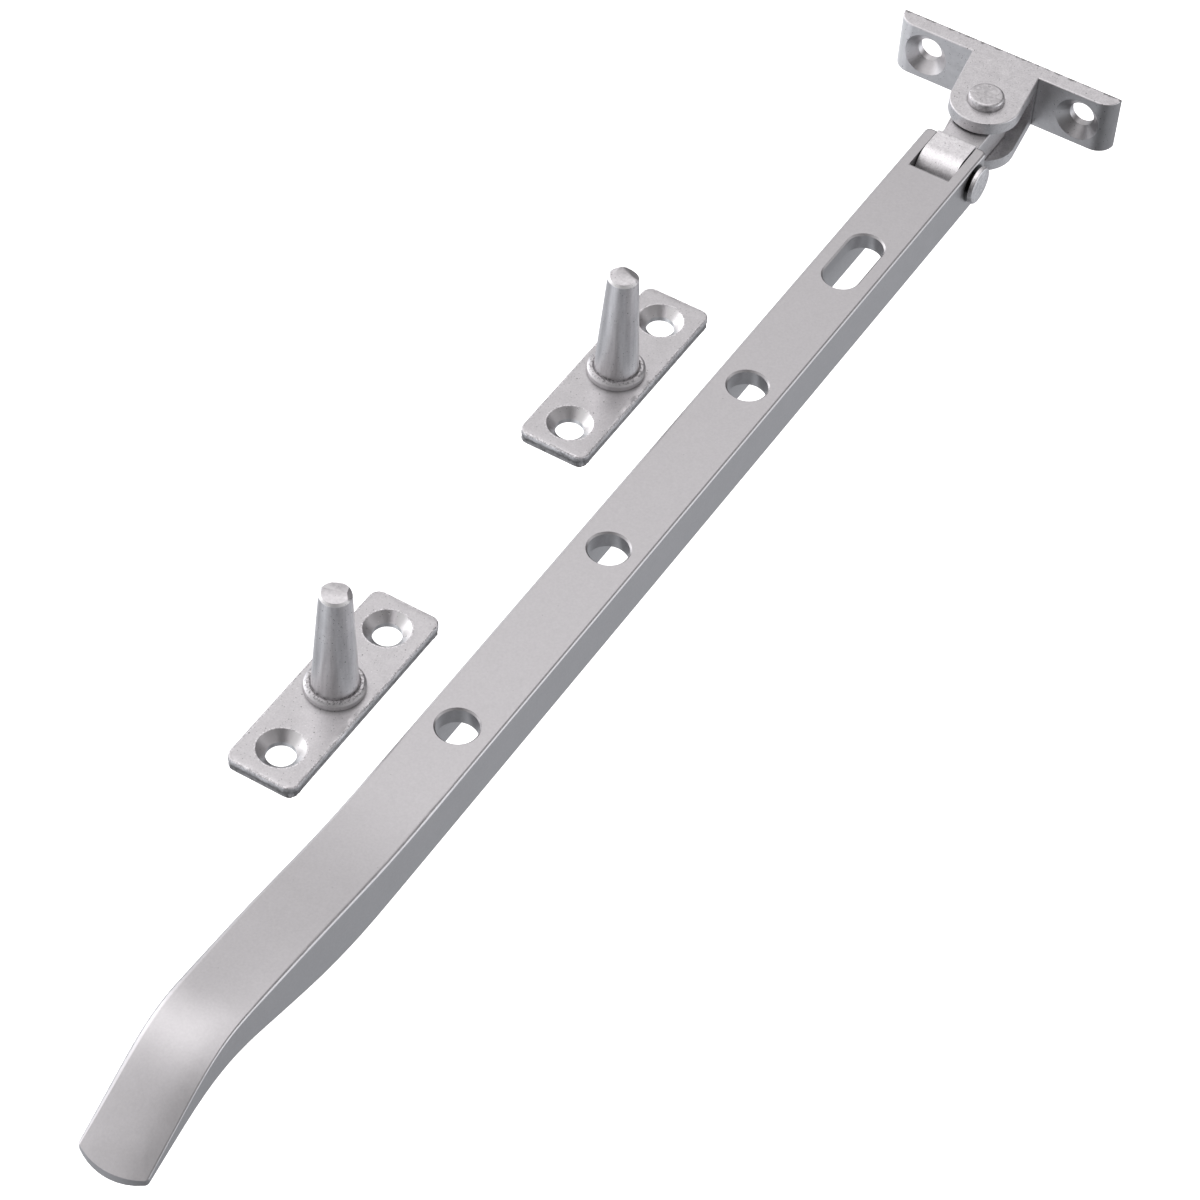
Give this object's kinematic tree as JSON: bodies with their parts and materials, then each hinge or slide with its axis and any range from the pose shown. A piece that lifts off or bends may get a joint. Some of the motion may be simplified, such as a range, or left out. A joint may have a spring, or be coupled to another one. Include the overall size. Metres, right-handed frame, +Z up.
{
  "type": "casement window stay",
  "caption": "Casement window stay: notched channel arm with peg holes, a slot and a cranked handle, on a swivel link and screw-on bracket, with loose tapered pegs.",
  "frame": {"origin": "on the bracket's flat mounting face, at mid height, in line with the arm; the face's own middle is 2.2 mm towards -Y", "axes": "+X out of the mounting face and along the arm to the handle's tip, +Z up, away from the surface the stay lies on"},
  "size_m": [0.3301, 0.0587, 0.0286],
  "materials": {
    "cast_satin_plate": "satin nickel-silver plate over a tumbled casting, finely pitted",
    "pin_satin_plate": "satin plate over steel rivet stock",
    "smooth_satin_plate": "smooth matt satin plate",
    "stamped_satin_plate": "satin plate over stamped strip, grainy, with torn side edges",
    "turned_satin_plate": "satin plate over a turned steel peg"
  },
  "bodies": {
    "bracket": {"bracket": "cast_satin_plate", "pivot_pin": "pin_satin_plate"},
    "link": {"swivel_link": "cast_satin_plate"},
    "arm": {"stay_arm": "smooth_satin_plate", "cross_pin": "pin_satin_plate"},
    "loose_peg_1": {"peg_plate_1": "stamped_satin_plate", "peg_1": "turned_satin_plate"},
    "loose_peg_2": {"peg_plate_2": "stamped_satin_plate", "peg_2": "turned_satin_plate"}
  },
  "joints": [
    {"name": "swivel", "type": "hinge", "parent": "bracket", "child": "link", "pos_m": [0.0168, 0, 0], "axis": [0, 0, 1], "range_deg": [-90, 90]},
    {"name": "lift", "type": "hinge", "parent": "link", "child": "arm", "pos_m": [0.0346, 0, 0], "axis": [0, -1, 0], "range_deg": [-60, 90]},
    {"name": "pick_up_peg_1", "type": "slide", "parent": "link", "child": "loose_peg_1", "axis": [0, 0, 1], "range_m": [0, 0.06]},
    {"name": "pick_up_peg_2", "type": "slide", "parent": "link", "child": "loose_peg_2", "axis": [0, 0, 1], "range_m": [0, 0.06]}
  ]
}
